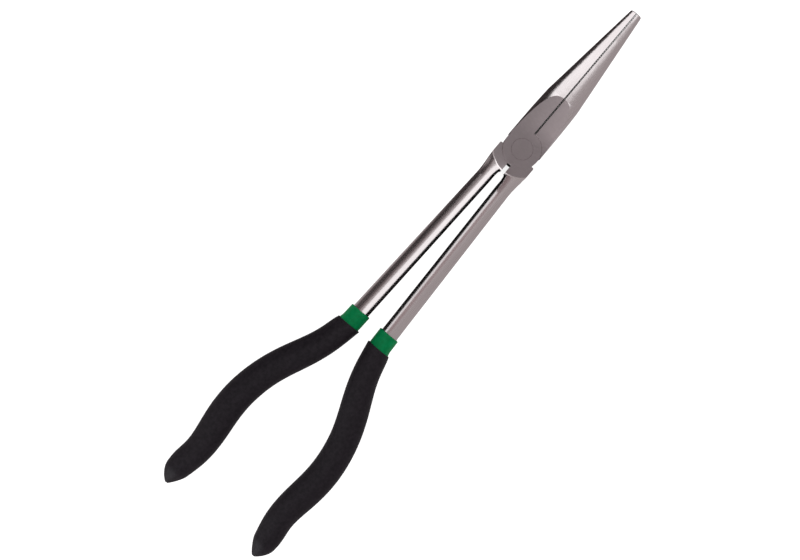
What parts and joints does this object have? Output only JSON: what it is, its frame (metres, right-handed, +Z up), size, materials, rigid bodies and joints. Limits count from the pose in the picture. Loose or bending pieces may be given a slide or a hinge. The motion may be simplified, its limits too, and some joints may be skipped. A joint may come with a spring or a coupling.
{
  "type": "needle nose pliers",
  "caption": "Long-reach needle nose pliers with round shanks, a lap joint and curved dipped handles, lying closed.",
  "frame": {"origin": "on the pivot axis, in the underside of the joint", "axes": "+X to the jaw tips, +Y to the left seen from above, +Z up through the thickness; the pliers lie flat and closed"},
  "size_m": [0.2801, 0.0626, 0.0112],
  "materials": {
    "lever_steel": "satin nickel plate, ground flat at the joint",
    "rivet_steel": "ground flush with the joint",
    "green_dip": "smooth satin vinyl",
    "black_dip": "matte vinyl, finely textured"
  },
  "bodies": {
    "rear_half": {"rear_lever": "lever_steel", "rear_under_sleeve": "green_dip", "rear_grip": "black_dip"},
    "front_half": {"front_lever": "lever_steel", "pivot_rivet": "rivet_steel", "front_under_sleeve": "green_dip", "front_grip": "black_dip"}
  },
  "joints": [
    {"name": "jaw_pivot", "type": "hinge", "parent": "rear_half", "child": "front_half", "pos_m": [0, 0, 0.005], "axis": [0, 0, 1], "range_deg": [0, 30]}
  ]
}
